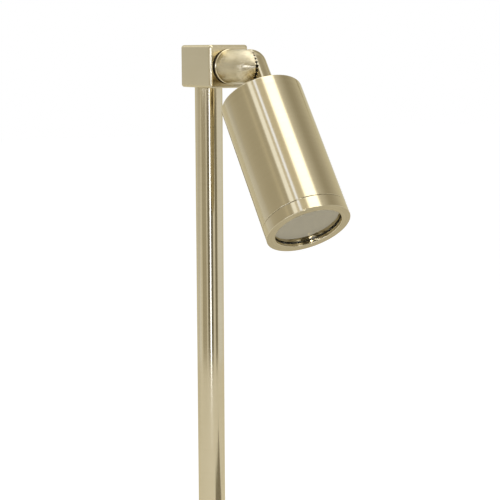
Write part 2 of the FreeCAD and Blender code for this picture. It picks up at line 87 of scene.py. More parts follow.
# Knuckle
knuckle_r = 12.7
knuckle_reach = 32.5
knuckle_tongue = 20.0
knuckle_foot_r = 0.6
collar_t = 1.6
collar_r = 13.1
base_seal_t = 1.7
seal_r = 12.6
seal_gap = 0.1
seal_round_share = 0.22
stem_r = 8.0
stem_in_block = 13.0
stem_root = 1.0
seam_low = -1.3
seam_high = -1.1
lap_bevel = 0.8
plain_lap_bevel = 0.12
lap_lean = 0.09
tooth_count = 28
tooth_turn = 3.2
tooth_depth = 0.9
tooth_fill = 0.72
tooth_inner_r = 9.0
tooth_lead_in = 0.8
tooth_runout = 2.2
pocket_depth = 4.0
pocket_boss_r = 5.0
screw_seat_r = 5.7
screw_seat_x = 5.5
rest_tilt = 52.0

# Head: distances run from its rear face along the lamp's axis
head_setback = 29.5
head_r = 30.0
head_length = 108.0
head_bore_r = 27.0
head_rear_wall = 6.0
head_edge_r = 0.6
ring_edge_r = 0.3
head_seal_t = 1.0
stem_inside = 14.0
seam_at = 99.0
seam_gap = 0.2
seam_bevel = 0.35
o_ring_rebate = 1.6
spigot_back = 90.0
spigot_r = 26.9
thread_depth = 0.45
thread_pitch = 1.5
thread_relief = 1.2
ridge_share = 0.42
ridge_crest = 0.1
ring_bore_r = 25.8
opening_r = 23.75
opening_bevel = 0.5
lip_t = 2.4
gasket_t = 0.7
gasket_inner_r = 24.0
glass_r = 25.6
glass_t = 4.0
lip_back = head_length - lip_t
gasket_front = lip_back - seal_gap
gasket_back = gasket_front - gasket_t
glass_back = gasket_back - glass_t

pivot = Vector((0, -(block_front + knuckle_reach), block_mid)) * mm
block_face = Vector((0, -block_front, block_mid)) * mm
upright = Matrix.Identity(4)
base_place = Matrix.Translation(pivot) @ Matrix.Rotation(math.radians(90), 4, "X")
tilt_place = Matrix.Translation(pivot) @ Matrix.Rotation(math.radians(90 + rest_tilt), 4, "X")
head_place = tilt_place @ Matrix.Translation((0, 0, head_setback * mm))
face_place = Matrix.Translation(block_face) @ Matrix.Rotation(math.radians(90), 4, "X")
port_place = Matrix.Translation((0, 0, port_z * mm)) @ Matrix.Rotation(math.radians(-90), 4, "X")
turn_over = Matrix.Rotation(math.pi, 4, "Y")


class Value:
    """A node's output, on which arithmetic adds Math nodes."""

    def __init__(self, graph, socket):
        self.graph = graph
        self.socket = socket

    def math(self, operation, first, second=0.0):
        return self.graph.node("ShaderNodeMath", {"operation": operation}, {0: first, 1: second})

    def __add__(self, other):
        return self.math("ADD", self, other)

    def __radd__(self, other):
        return self.math("ADD", other, self)

    def __sub__(self, other):
        return self.math("SUBTRACT", self, other)

    def __rsub__(self, other):
        return self.math("SUBTRACT", other, self)

    def __mul__(self, other):
        return self.math("MULTIPLY", self, other)

    def __rmul__(self, other):
        return self.math("MULTIPLY", other, self)

    def __pow__(self, other):
        return self.math("POWER", self, other)

    def at_most(self, other):
        return self.math("MINIMUM", self, other)

    def at_least(self, other):
        return self.math("MAXIMUM", self, other)

    def out(self, name):
        """Another output of the same node."""
        return Value(self.graph, self.socket.node.outputs[name])


class Graph:
    """A node tree that grows node by node."""

    def __init__(self, tree):
        self.tree = tree

    def node(self, kind, settings, sockets, output=0):
        """Adds one node, sets it, fills its sockets and gives one of its outputs."""
        node = self.tree.nodes.new(kind)
        for name, value in settings.items():
            setattr(node, name, value)
        for name, value in sockets.items():
            if isinstance(value, Value):
                self.tree.links.new(value.socket, node.inputs[name])
            else:
                node.inputs[name].default_value = value
        return Value(self, node.outputs[output]) if node.outputs else None


class Finish(Graph):
    """A material made of nodes."""

    def __init__(self, name):
        self.material = bpy.data.materials.new(name)
        self.material.use_nodes = True
        super().__init__(self.material.node_tree)
        self.tree.nodes.clear()

    def place(self, matrix=upright):
        """Object coordinates in millimetres, from a piece's own centre and axis."""
        spot = self.node("ShaderNodeTexCoord", {}, {}, "Object")
        sockets = {"Vector": spot, "Location": matrix.to_translation(), "Rotation": matrix.to_euler()}
        own = self.node("ShaderNodeMapping", {"vector_type": "TEXTURE"}, sockets)
        return self.node("ShaderNodeVectorMath", {"operation": "SCALE"}, {0: own, "Scale": 1 / mm})

    def axes(self, place):
        """The three numbers of a place."""
        split = self.node("ShaderNodeSeparateXYZ", {}, {0: place})
        return [split.out(name) for name in "XYZ"]

    def grain(self, place, size, detail=2.0):
        """Cloudy noise from 0 to 1 with patches of about the given size."""
        return self.node("ShaderNodeTexNoise", {}, {"Vector": place, "Scale": 1 / size, "Detail": detail})

    def lines(self, run, width, detail=1.0):
        """Noise that changes along one distance only, as tool marks do."""
        settings = {"noise_dimensions": "1D"}
        return self.node("ShaderNodeTexNoise", settings, {"W": run, "Scale": 1 / width, "Detail": detail})

    def blend(self, share, first, second):
        """A colour between two colours."""
        settings = {"data_type": "RGBA"}
        return self.node("ShaderNodeMix", settings, {0: share, 6: first, 7: second}, 2)

    def bump(self, height, depth, sharpness=0.05):
        """A normal from a height of 0 to 1 that stands for a depth in millimetres."""
        sockets = {"Strength": 1.0, "Distance": depth * mm, "Filter Width": sharpness, "Height": height}
        return self.node("ShaderNodeBump", {}, sockets)

    def surface(self, sockets):
        """Ends the material in one surface shader."""
        shader = self.node("ShaderNodeBsdfPrincipled", {}, sockets)
        self.node("ShaderNodeOutputMaterial", {}, {"Surface": shader})
        return self.material


# Finishes
brass_light = (0.53, 0.457, 0.297, 1)
brass_deep = (0.47, 0.40, 0.245, 1)
brass_edge = (0.80, 0.76, 0.62, 1)
brass_groove = (0.36, 0.295, 0.165, 1)
ball_blend = 7.0
bar_matt = 0.14
mark_width = 0.3
cloud_size = 26.0


def brass(name, place, run_of, mark_depth, gloss, end_depth=None, band=2.4, deep=brass_deep):
    """Satin brass with tool marks across one distance; the gloss is the least roughness.

    With an end depth, the marks on a ball end have that depth and the bar behind it is duller."""
    finish = Finish(name)
    spot = finish.place(place)
    x, y, z = finish.axes(spot)
    run = run_of(x, y, z)
    marks = finish.lines(run, mark_width, 2.0)
    bands = finish.lines(run, band, 1.0)
    clouds = finish.grain(spot, cloud_size, 3.0)
    tone = (clouds * 0.75 + bands * 0.35 - 0.1) ** 1.5
    colour = finish.blend(tone, brass_light, deep)
    rough = gloss + clouds * 0.05 + marks * 0.03
    height = marks + bands * 0.25
    if end_depth:
        on_end = ((z + ball_blend) * (0.5 / ball_blend)).at_least(0.0).at_most(1.0)
        height = height * (1 + on_end * (end_depth / mark_depth - 1))
        rough = rough + (1 - on_end) * bar_matt
    normal = finish.bump(height, mark_depth)
    sockets = {"Base Color": colour, "Metallic": 1.0, "Roughness": rough, "Normal": normal,
               "Specular Tint": brass_edge}
    return finish.surface(sockets)


def round_run(x, y, z):
    """Distance along a turned piece's outline: down its side, and out over its ends."""
    return z + (x * x + y * y) ** 0.5


def ball_run(x, y, z):
    """Distance along a ball-ended bar's outline: over the ball from its tip, then down the bar."""
    out = (x * x + y * y) ** 0.5
    return out.math("ARCTAN2", out, z.at_least(0.0)) * knuckle_r - z.at_most(0.0)


def painted_groove_shade():
    """Painted shade: near-black colour in the grooves between teeth, standing in for the shadow that falls in
    them.
    """
    finish = Finish("tooth_patina")
    clouds = finish.grain(finish.place(), 0.8, 3.0)
    colour = finish.blend(clouds, (0.030, 0.022, 0.010, 1), (0.075, 0.058, 0.028, 1))
    return finish.surface({"Base Color": colour, "Metallic": 0.6, "Roughness": 0.55 + clouds * 0.2})


def dark_bore():
    """Painted shade: brass coloured near black on the inside of the housing and the ring, standing in for the
    shade deep in the bore.
    """
    finish = Finish("dark_bore")
    clouds = finish.grain(finish.place(head_place), 3.0, 3.0)
    colour = finish.blend(clouds, (0.045, 0.034, 0.009, 1), (0.07, 0.053, 0.015, 1))
    return finish.surface({"Base Color": colour, "Metallic": 1.0, "Roughness": 0.26 + clouds * 0.1})


def plastic(name, colour_low, colour_high, roughness, grain_size, grain_depth, shine=0.5):
    """Moulded plastic or rubber with a fine grain."""
    finish = Finish(name)
    spot = finish.place()
    grain = finish.grain(spot, grain_size, 2.0)
    clouds = finish.grain(spot, 18.0, 3.0)
    colour = finish.blend(clouds, colour_low, colour_high)
    normal = finish.bump(grain, grain_depth)
    rough = roughness + (clouds - 0.5) * 0.12
    sockets = {"Base Color": colour, "Roughness": rough, "Normal": normal, "Specular IOR Level": shine}
    return finish.surface(sockets)


def plated_steel():
    """Zinc-plated steel with faint marks."""
    finish = Finish("plated_steel")
    spot = finish.place()
    clouds = finish.grain(spot, 5.0, 3.0)
    colour = finish.blend(clouds, (0.62, 0.61, 0.59, 1), (0.50, 0.50, 0.49, 1))
    normal = finish.bump(finish.grain(spot, 0.25, 1.0), 0.004)
    rough = 0.24 + clouds * 0.16
    return finish.surface({"Base Color": colour, "Metallic": 1.0, "Roughness": rough, "Normal": normal})


def cast_casing():
    """Satin cast aluminium of the lamp's body."""
    finish = Finish("lamp_casing")
    spot = finish.place()
    colour = finish.blend(finish.grain(spot, 9.0, 3.0), (0.70, 0.70, 0.69, 1), (0.60, 0.60, 0.60, 1))
    normal = finish.bump(finish.grain(spot, 0.4, 2.0), 0.02)
    return finish.surface({"Base Color": colour, "Metallic": 1.0, "Roughness": 0.38, "Normal": normal})


def frosted_diffuser():
    """Frosted front of the lamp, with fine rings moulded in it."""
    finish = Finish("frosted_diffuser")
    spot = finish.place(head_place)
    run = round_run(*finish.axes(spot))
    rings = finish.lines(run, 0.9, 0.0)
    colour = finish.blend(finish.grain(spot, 12.0, 2.0), (0.74, 0.70, 0.52, 1), (0.68, 0.63, 0.45, 1))
    normal = finish.bump(rings, 0.05)
    return finish.surface({"Base Color": colour, "Roughness": 0.5, "Normal": normal})


def phosphor():
    """Yellow phosphor of the light source, off."""
    finish = Finish("phosphor")
    spot = finish.place()
    colour = finish.blend(finish.grain(spot, 1.5, 2.0), (0.80, 0.66, 0.22, 1), (0.72, 0.58, 0.18, 1))
    return finish.surface({"Base Color": colour, "Roughness": 0.6})


def glazed_ceramic():
    """White half-glazed ceramic."""
    finish = Finish("glazed_ceramic")
    spot = finish.place()
    colour = finish.blend(finish.grain(spot, 3.0, 3.0), (0.80, 0.78, 0.72, 1), (0.72, 0.69, 0.62, 1))
    normal = finish.bump(finish.grain(spot, 0.5, 2.0), 0.03)
    return finish.surface({"Base Color": colour, "Roughness": 0.4, "Normal": normal})


def flat_glass(name, colour, mirror):
    """Flat glass with faint dust in its shine; mirror is the share of light that its coat throws back."""
    finish = Finish(name)
    dust = finish.grain(finish.place(head_place), 7.0, 4.0)
    sockets = {"Base Color": colour, "Metallic": mirror, "Roughness": 0.02 + dust * dust * 0.06,
               "Transmission Weight": 1.0, "IOR": 1.5}
    return finish.surface(sockets)


turned_head = brass("brass_head", head_place, round_run, 0.006, 0.08)
faced_ring = brass("brass_ring_face", head_place, round_run, 0.05, 0.12, band=1.1, deep=brass_groove)
faced_rear = brass("brass_rear_face", head_place, round_run, 0.05, 0.35)
turned_base = brass("brass_knuckle_base", base_place, ball_run, 0.07, 0.04, 0.2)
turned_tilt = brass("brass_knuckle_head", tilt_place @ turn_over, ball_run, 0.02, 0.10)
drawn_pole = brass("brass_pole", upright, round_run, 0.0015, 0.06)
brushed_block = brass("brass_block", upright, lambda x, y, z: z + x * 0.6, 0.002, 0.13)
# Painted shade for the grooves between the knuckle's teeth.
tooth_patina = painted_groove_shade()
# Painted shade deep in the bore of the housing and the ring.
painted_shade_inside = dark_bore()
spike_plastic = plastic("spike_plastic", (0.020, 0.020, 0.021, 1), (0.034, 0.034, 0.035, 1), 0.5, 0.35, 0.02)
black_rubber = plastic("seal_rubber", (0.003, 0.003, 0.003, 1), (0.006, 0.006, 0.006, 1), 0.7, 0.2, 0.008,
                       shine=0.2)
lead_sheath = plastic("lead_sheath", (0.025, 0.025, 0.026, 1), (0.035, 0.035, 0.036, 1), 0.45, 0.3, 0.01)
wire_sheath = plastic("wire_sheath", (0.72, 0.70, 0.64, 1), (0.64, 0.61, 0.54, 1), 0.5, 0.4, 0.02)
steel = plated_steel()
casing = cast_casing()
diffuser = frosted_diffuser()
light_source = phosphor()
ceramic = glazed_ceramic()
glass = flat_glass("clear_glass", (0.93, 0.95, 0.94, 1), 0.0)
coated_glass = flat_glass("coated_glass", (1.0, 0.87, 0.55, 1), 0.25)


# Shapes by geometry nodes
lathe_path_r = 10.0
axis_weld = 0.001


class Shaper(Graph):
    """A geometry node tree with named sizes, which ends in one plain mesh with a material."""

    def __init__(self, name):
        super().__init__(bpy.data.node_groups.new(name, "GeometryNodeTree"))
        self.sockets = {}
        self.inputs = self.node("NodeGroupInput", {}, {})
        self.start = self.size("Start", "NodeSocketGeometry")

    def size(self, name, kind="NodeSocketFloat"):
        """A named input of the tree."""
        item = self.tree.interface.new_socket(name, in_out="INPUT", socket_type=kind)
        self.sockets[name] = item.identifier
        return self.inputs.out(name)

    def end(self, shape):
        """Realizes the shape and gives it the material."""
        finish = self.size("Finish", "NodeSocketMaterial")
        real = self.node("GeometryNodeRealizeInstances", {}, {0: shape})
        done = self.node("GeometryNodeSetMaterial", {}, {"Geometry": real, "Material": finish})
        self.tree.interface.new_socket("Shape", in_out="OUTPUT", socket_type="NodeSocketGeometry")
        self.node("NodeGroupOutput", {}, {0: done})

    def run(self, start, finish, **sizes):
        """A plain mesh grown from a start mesh with the given sizes."""
        seed = bpy.data.objects.new(self.tree.name, start)
        bpy.context.scene.collection.objects.link(seed)
        modifier = seed.modifiers.new("shape", "NODES")
        modifier.node_group = self.tree
        modifier[self.sockets["Finish"]] = finish
        for name, value in sizes.items():
            modifier[self.sockets[name]] = value
        bpy.context.view_layer.update()
        grown = seed.evaluated_get(bpy.context.evaluated_depsgraph_get())
        mesh = bpy.data.meshes.new_from_object(grown)
        seed.modifiers.remove(modifier)
        bpy.data.objects.remove(seed)
        return mesh

    def vector(self, x=0.0, y=0.0, z=0.0):
        """Three numbers as one vector."""
        return self.node("ShaderNodeCombineXYZ", {}, {0: x, 1: y, 2: z})


def lathe_tree():
    """Turns an outline, drawn as radius and height in the XY plane, about Z."""
    tree = Shaper("lathe")
    sides = tree.size("Sides", "NodeSocketInt")
    radius = tree.size("Radius")
    sockets = {"Geometry": tree.start, "Translation": tree.vector(x=0 - radius), "Scale": (1, -1, 1)}
    moved = tree.node("GeometryNodeTransform", {}, sockets)
    outline = tree.node("GeometryNodeMeshToCurve", {}, {0: moved})
    circle = tree.node("GeometryNodeCurvePrimitiveCircle", {}, {"Resolution": sides, "Radius": radius})
    skin = tree.node("GeometryNodeCurveToMesh", {}, {"Curve": circle, "Profile Curve": outline})
    tree.end(tree.node("GeometryNodeMergeByDistance", {}, {"Geometry": skin, "Distance": axis_weld * mm}))
    return tree


def spread_tree():
    """Copies the start mesh evenly round X."""
    tree = Shaper("spread")
    count = tree.size("Count", "NodeSocketInt")
    first = tree.size("First angle")
    points = tree.node("GeometryNodeMeshLine", {}, {"Count": count, "Offset": (0, 0, 0)})
    number = tree.node("GeometryNodeInputIndex", {}, {})
    angle = first + number * (2 * math.pi) * (1.0 * count) ** -1.0
    turn = tree.node("FunctionNodeEulerToRotation", {}, {0: tree.vector(x=angle)})
    sockets = {"Points": points, "Instance": tree.start, "Rotation": turn}
    tree.end(tree.node("GeometryNodeInstanceOnPoints", {}, sockets))
    return tree


def thread_tree():
    """Sweeps the start outline along a screw line about Z."""
    tree = Shaper("thread")
    radius = tree.size("Radius")
    pitch = tree.size("Pitch")
    turns = tree.size("Turns")
    outline = tree.node("GeometryNodeMeshToCurve", {}, {0: tree.start})
    sockets = {"Resolution": 96, "Rotations": turns, "Start Radius": radius, "End Radius": radius,
               "Height": pitch * turns}
    path = tree.node("GeometryNodeCurveSpiral", {}, sockets)
    sockets = {"Curve": path, "Profile Curve": outline, "Fill Caps": True}
    tree.end(tree.node("GeometryNodeCurveToMesh", {}, sockets))
    return tree


lathe = lathe_tree()
spread = spread_tree()
thread = thread_tree()


# Shapes by hand
weld = 0.002
broad = 20
least_bend = math.radians(4)
round_bend = math.radians(30)


def rounded(corners):
    """An outline through (radius, height, rounding) corners, in millimetres."""
    points = []
    count = len(corners)
    for i, (r, z, rounding) in enumerate(corners):
        here = Vector((r, z))
        if rounding == 0:
            points.append(here)
            continue
        before = (Vector(corners[i - 1][:2]) - here).normalized()
        after = (Vector(corners[(i + 1) % count][:2]) - here).normalized()
        half = before.angle(after) / 2
        reach = rounding / math.tan(half)
        centre = here + (before + after).normalized() * rounding / math.sin(half)
        start = here + before * reach - centre
        sweep = start.angle_signed(here + after * reach - centre)
        steps = max(4, round(abs(sweep) * (4 + rounding)))
        for step in range(steps + 1):
            points.append(centre + Matrix.Rotation(-sweep * step / steps, 2) @ start)
    return points


def polyline(points, closed):
    """A mesh of edges through points in millimetres."""
    mesh = bpy.data.meshes.new("outline")
    edges = [(i, i + 1) for i in range(len(points) - 1)]
    if closed:
        edges.append((len(points) - 1, 0))
    mesh.from_pydata([(x * mm, y * mm, 0) for x, y in points], edges, [])
    return mesh


def borders_broad_face(edge):
    """Whether an edge parts a broad face from the small faces of a rounding."""
    if not edge.is_manifold:
        return False
    small, large = sorted(face.calc_area() for face in edge.link_faces)
    return large > broad * small and edge.calc_face_angle() > least_bend


def tidy(mesh, sharp_angle=32.0):
    """Merges doubles, points faces outwards and shades smooth up to an angle, with broad faces kept flat."""
    work = bmesh.new()
    work.from_mesh(mesh)
    bmesh.ops.remove_doubles(work, verts=work.verts, dist=weld * mm)
    bmesh.ops.recalc_face_normals(work, faces=work.faces)
    work.edges.index_update()
    borders = [edge.index for edge in work.edges if borders_broad_face(edge)]
    work.to_mesh(mesh)
    work.free()
    mesh.shade_smooth()
    mesh.set_sharp_from_angle(angle=math.radians(sharp_angle))
    for number in borders:
        mesh.edges[number].use_edge_sharp = True
    return mesh


def turned(corners, finish, place=upright, sides=160):
    """A turned piece from its outline; one that starts and ends on the axis is solid there."""
    hollow = min(r for r, z, rounding in corners) > 0
    outline = polyline(rounded(corners), hollow)
    mesh = lathe.run(outline, finish, Sides=sides, Radius=lathe_path_r * mm)
    mesh.transform(place)
    return tidy(mesh)


def piece(name, mesh, body, slot, *nodes):
    """Puts a finished mesh in the scene as a piece that rides on a body and stands for its nodes."""
    mesh.name = name
    made = bpy.data.objects.new(name, mesh)
    bpy.context.scene.collection.objects.link(made)
    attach(made, body)
    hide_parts(*nodes)
    return made


def carved(mesh, tool, operation="DIFFERENCE", finish=None):
    """A mesh cut by, joined with or limited to a tool, in its own or a given finish."""
    tool.materials.clear()
    tool.materials.append(finish or mesh.materials[0])
    part = bpy.data.objects.new("carved", mesh)
    cutter = bpy.data.objects.new("tool", tool)
    for item in (part, cutter):
        bpy.context.scene.collection.objects.link(item)
    modifier = part.modifiers.new("carve", "BOOLEAN")
    modifier.operation = operation
    modifier.solver = "EXACT"
    modifier.material_mode = "TRANSFER"
    modifier.object = cutter
    bpy.context.view_layer.update()
    result = bpy.data.meshes.new_from_object(part.evaluated_get(bpy.context.evaluated_depsgraph_get()))
    for item in (part, cutter):
        bpy.data.objects.remove(item)
    return tidy(result)


def box(low, high, finish=None):
    """A plain box between two corners in millimetres."""
    work = bmesh.new()
    bmesh.ops.create_cube(work, size=1.0)
    middle = (Vector(low) + Vector(high)) * mm / 2
    size = (Vector(high) - Vector(low)) * mm
    place = Matrix.Translation(middle) @ Matrix.Diagonal((*size, 1))
    bmesh.ops.transform(work, matrix=place, verts=work.verts)
    mesh = bpy.data.meshes.new("box")
    work.to_mesh(mesh)
    work.free()
    mesh.materials.append(finish)
    return mesh


def softened(mesh, width, segments):
    """The mesh with its sharp edges rounded."""
    work = bmesh.new()
    work.from_mesh(mesh)
    edges = [e for e in work.edges if e.is_manifold and e.calc_face_angle() > round_bend]
    bmesh.ops.bevel(work, geom=edges, offset=width * mm, segments=segments, profile=0.5, affect="EDGES",
                    clamp_overlap=True)
    work.to_mesh(mesh)
    work.free()
    return tidy(mesh)


def swept(rings):
    """A closed mesh through rings of corners in millimetres."""
    work = bmesh.new()
    loops = [[work.verts.new(Vector(corner) * mm) for corner in ring] for ring in rings]
    work.faces.new(loops[0])
    work.faces.new(loops[-1])
    for first, second in zip(loops, loops[1:]):
        for i in range(len(first)):
            j = (i + 1) % len(first)
            work.faces.new((first[i], first[j], second[j], second[i]))
    mesh = bpy.data.meshes.new("swept")
    work.to_mesh(mesh)
    work.free()
    return tidy(mesh)


def rod(radius, start, end, place=upright, sides=96):
    """A plain round tool along a place's axis."""
    return turned([(0, start, 0), (radius, start, 0), (radius, end, 0), (0, end, 0)], None, place, sides)


# Stand
def make_pole():
    """Round tube with its ends just broken."""
    inner = pole_r - pole_wall
    ends = [(inner, pole_foot), (pole_r, pole_foot), (pole_r, pole_top), (inner, pole_top)]
    corners = [(r, z, pole_end_r) for r, z in ends]
    piece("pole_tube", turned(corners, drawn_pole), "stand", "brass", "pole")


def make_block():
    """Square bar with rounded edges, bored for the pole, the knuckle's stem and the set screw."""
    mesh = box((-block_half, -block_front, block_low), (block_half, block_back, block_high), brushed_block)
    mesh = softened(mesh, block_edge_r, 8)
    past = 5.0
    socket_r = pole_r + socket_gap
    socket = turned([(0, block_low - past, 0), (socket_r + hole_bevel + past, block_low - past, 0),
                     (socket_r, block_low + hole_bevel, 0), (socket_r, pole_top, 0), (0, pole_top, 0)], None)
    stem_hole = rod(stem_r + socket_gap, -past, stem_in_block + socket_gap, face_place @ turn_over)
    grub_place = Matrix.Translation((0, 0, grub_hole_z * mm)) @ Matrix.Rotation(math.radians(-90), 4, "X")
    grub_hole = turned([(0, pole_r, 0), (grub_hole_r, pole_r, 0), (grub_hole_r, block_back - hole_bevel, 0),
                        (grub_hole_r + hole_bevel + past, block_back + past, 0), (0, block_back + past, 0)],
                       None, grub_place)
    for tool in (socket, stem_hole, grub_hole):
        mesh = carved(mesh, tool)
    piece("block_bar", mesh, "stand", "brass", "lamp_block")


def make_lock_nut():
    """Hexagon nut with turned-down corners."""
    corner_r = nut_flats / math.sqrt(3)
    drop = (corner_r - nut_flats / 2) / math.sqrt(3)
    bore = pole_r + socket_gap
    work = bmesh.new()
    bmesh.ops.create_cone(work, cap_ends=True, segments=6, radius1=corner_r * mm, radius2=corner_r * mm,
                          depth=nut_height * mm, matrix=Matrix.Translation((0, 0, nut_height * mm / 2)))
    prism = bpy.data.meshes.new("prism")
    work.to_mesh(prism)
    work.free()
    past_corner = corner_r + 2 * socket_gap
    blank = [(bore, 0, 0.4), (nut_flats / 2, 0, 0), (past_corner, drop, 0),
             (past_corner, nut_height - drop, 0), (nut_flats / 2, nut_height, 0), (bore, nut_height, 0.4)]
    mesh = carved(turned(blank, drawn_pole), prism, "INTERSECT")
    piece("foot_nut", mesh, "stand", "brass", "lock_nut")


def fin_blade(turn):
    """Two opposite fins as one pointed blade through the axis, whose top reaches into the flange."""
    side = [(hub_r, -flange_t / 2), (hub_r, -flange_t), (fin_half, fin_shoulder), (fin_half, fin_straight),
            (fin_tip_half, fin_tip_z)]
    outline = side + [(0, spike_tip)] + [(-x, z) for x, z in reversed(side)]
    along = Vector((math.cos(turn), math.sin(turn), 0))
    across = Vector((-math.sin(turn), math.cos(turn), 0)) * fin_t / 2
    return swept([[along * x + Vector((0, 0, z)) + across * way for x, z in outline] for way in (-1, 1)])


def make_spike():
    """Moulded stake: flange, hub and four pointed fins."""
    bore = pole_r + socket_gap
    core = [(0, 0, 0), (flange_r, 0, 1.5), (flange_r, -flange_t, 0.8), (hub_r, -flange_t, 1.2),
            (hub_r, -hub_depth, 1.0), (core_r, -hub_depth, 1.5), (core_tip_r, fin_tip_z, 0),
            (0, fin_tip_z, 0)]
    mesh = turned(core, spike_plastic, sides=128)
    for blade in range(fin_count // 2):
        turn = math.radians(fin_turn) + blade * math.tau / fin_count
        mesh = carved(mesh, fin_blade(turn), "UNION")
    above = 5.0
    socket = turned([(0, chamber_floor, 0), (chamber_r, chamber_floor, 0.8), (chamber_r, pole_foot, 0),
                     (bore, pole_foot, 0), (bore, above, 0), (0, above, 0)], None)
    port = rod(port_r, 0, 3 * hub_r, port_place)
    port_mouth = rod(port_flange_r + 2 * socket_gap, port_seat, 3 * hub_r, port_place)
    for tool in (socket, port, port_mouth):
        mesh = carved(mesh, tool)
    piece("spike_stake", mesh, "stand", "spike_plastic", "ground_spike")


def make_grommet():
    """Rubber grommet in the hub's side."""
    front = port_seat + port_flange_t
    back = chamber_r + socket_gap
    neck = port_r - socket_gap
    corners = [(cable_bore_r, back, 0.5), (neck, back, 0.5), (neck, port_seat, 0),
               (port_flange_r, port_seat, 0.3), (port_flange_r, front, 0.9), (cable_bore_r, front, 0.7)]
    mesh = turned(corners, black_rubber, port_place, 96)
    piece("port_grommet", mesh, "stand", "seal_rubber", "cable_grommet")


# Knuckle
def bar_outline(foot):
    """A round bar along Z from its foot, a list of corners, to a ball end on the tilt axis."""
    return [(0, foot[0][1], 0), *foot, (knuckle_r, knuckle_r, knuckle_r), (0, knuckle_r, 0)]


def tooth_tools(first_angle):
    """V-shaped cutters, spread round the tilt axis, with their points towards -X."""
    inner = tooth_inner_r - tooth_lead_in
    outer = knuckle_r + tooth_runout
    half_mouth = math.tan(math.pi / tooth_count * tooth_fill)
    ends = []
    for r in (inner, outer):
        deep = tooth_depth * r / knuckle_r
        wide = 2 * r * half_mouth
        ends.append([(deep, -wide, r), (deep, wide, r), (-deep, 0, r)])
    sizes = {"Count": tooth_count, "First angle": first_angle}
    return spread.run(swept(ends), None, **sizes)


def rim_tool(seam, bevel, lean):
    """A wedge along the rim of a half lap, down one side, round the ball and up the other."""
    rim = math.sqrt(knuckle_r ** 2 - seam ** 2)
    past = 1.0
    slope = 1 + lean / bevel
    wedge = [(rim - bevel - past, seam + past * slope), (rim + past, seam + past * slope),
             (rim + past, seam - (bevel + past) * slope)]
    steps = 64
    clear = 0.05
    foot = clear - knuckle_tongue
    stations = [(0, foot), *[(math.pi * i / steps, 0) for i in range(steps + 1)], (math.pi, foot)]
    rings = []
    for turn, rise in stations:
        rings.append([(x, r * math.cos(turn), r * math.sin(turn) + rise) for r, x in wedge])
    return swept(rings)


def lapped_bar(mesh, seam, first_angle, bevel, lean):
    """A ball-ended bar milled to a half lap on the -X side of its seam, with a bevelled rim and teeth."""
    far = 2 * knuckle_r
    mesh = carved(mesh, box((seam, -far, -knuckle_tongue), (far, far, far)))
    mesh = carved(mesh, rim_tool(seam, bevel, lean))
    ring_place = Matrix.Translation((seam * mm, 0, 0)) @ Matrix.Rotation(math.radians(-90), 4, "Y")
    pocket = [(pocket_boss_r, -pocket_depth, 0), (tooth_inner_r, -pocket_depth, 0), (tooth_inner_r, 0, 0),
              (tooth_inner_r, pocket_depth, 0), (pocket_boss_r, pocket_depth, 0)]
    mesh = carved(mesh, turned(pocket, None, ring_place, 96))
    teeth = tooth_tools(first_angle)
    teeth.transform(Matrix.Translation((seam * mm, 0, 0)))
    # The faces cut by the teeth take the painted groove shade.
    return carved(mesh, teeth, finish=tooth_patina)


def stem(end, foot, finish):
    """The stem of a knuckle half, rooted in the foot of its bar."""
    root = foot + stem_root
    return turned([(0, end, 0), (stem_r, end, 0.5), (stem_r, root, 0), (0, root, 0)], finish)


def make_knuckle_base():
    """Fixed half of the knuckle with its stem into the block."""
    foot = seal_gap + base_seal_t - knuckle_reach
    collar_end = foot + collar_t
    slope_start = collar_end - collar_r + knuckle_r
    collar = [(collar_r, foot, 0.2), (collar_r, slope_start, 0.1), (knuckle_r, collar_end, 0)]
    bar = turned(bar_outline(collar), turned_base)
    mesh = lapped_bar(bar, seam_low, math.radians(-tooth_turn), plain_lap_bevel, 0.0)
    mesh = carved(mesh, stem(-knuckle_reach - stem_in_block, foot, turned_base), "UNION")
    mesh.transform(base_place)
    piece("knuckle_fixed_half", mesh, "knuckle", "brass", "knuckle_base")


def make_knuckle_head():
    """Tilting half of the knuckle with the screw's seat and its stem into the head."""
    foot = head_seal_t - head_setback
    bar = turned(bar_outline([(knuckle_r, foot, knuckle_foot_r)]), turned_tilt)
    mesh = lapped_bar(bar, -seam_high, math.radians(rest_tilt + tooth_turn), lap_bevel, lap_lean)
    seat_place = Matrix.Rotation(math.radians(-90), 4, "Y")
    seat = turned([(0, screw_seat_x, 0), (screw_seat_r, screw_seat_x, 0.4), (screw_seat_r, 2 * knuckle_r, 0),
                   (0, 2 * knuckle_r, 0)], None, seat_place, 96)
    mesh = carved(mesh, seat)
    mesh = carved(mesh, stem(-head_setback - stem_inside, foot, turned_tilt), "UNION")
    mesh.transform(tilt_place @ turn_over)
    piece("knuckle_tilting_half", mesh, "head", "brass", "knuckle_head")


def seal(low, high, place):
    """A flat black seal round a stem, with its rim rounded."""
    bore = stem_r + socket_gap
    rounding = (high - low) * seal_round_share
    corners = [(bore, low, 0), (seal_r, low, rounding), (seal_r, high, rounding), (bore, high, 0)]
    return turned(corners, black_rubber, place)


def make_seals():
    """Seals at the block and at the head."""
    at_block = seal(seal_gap, seal_gap + base_seal_t, face_place)
    piece("seal_at_block", at_block, "knuckle", "seal_rubber", "knuckle_seal")
    at_head = seal(-head_seal_t, 0, head_place)
    piece("seal_at_head", at_head, "head", "seal_rubber", "head_seal")


# Head
def refinished(mesh, finish, chosen):
    """The mesh with another finish on the faces chosen by their middle and normal."""
    mesh.materials.append(finish)
    for face in mesh.polygons:
        if chosen(face.center / mm, face.normal):
            face.material_index = len(mesh.materials) - 1
    return mesh


def inside(middle, normal):
    """Whether a face looks inwards, behind the ring's lip."""
    return normal.xy.dot(middle.xy) < -0.5 * middle.xy.length and middle.z < lip_back


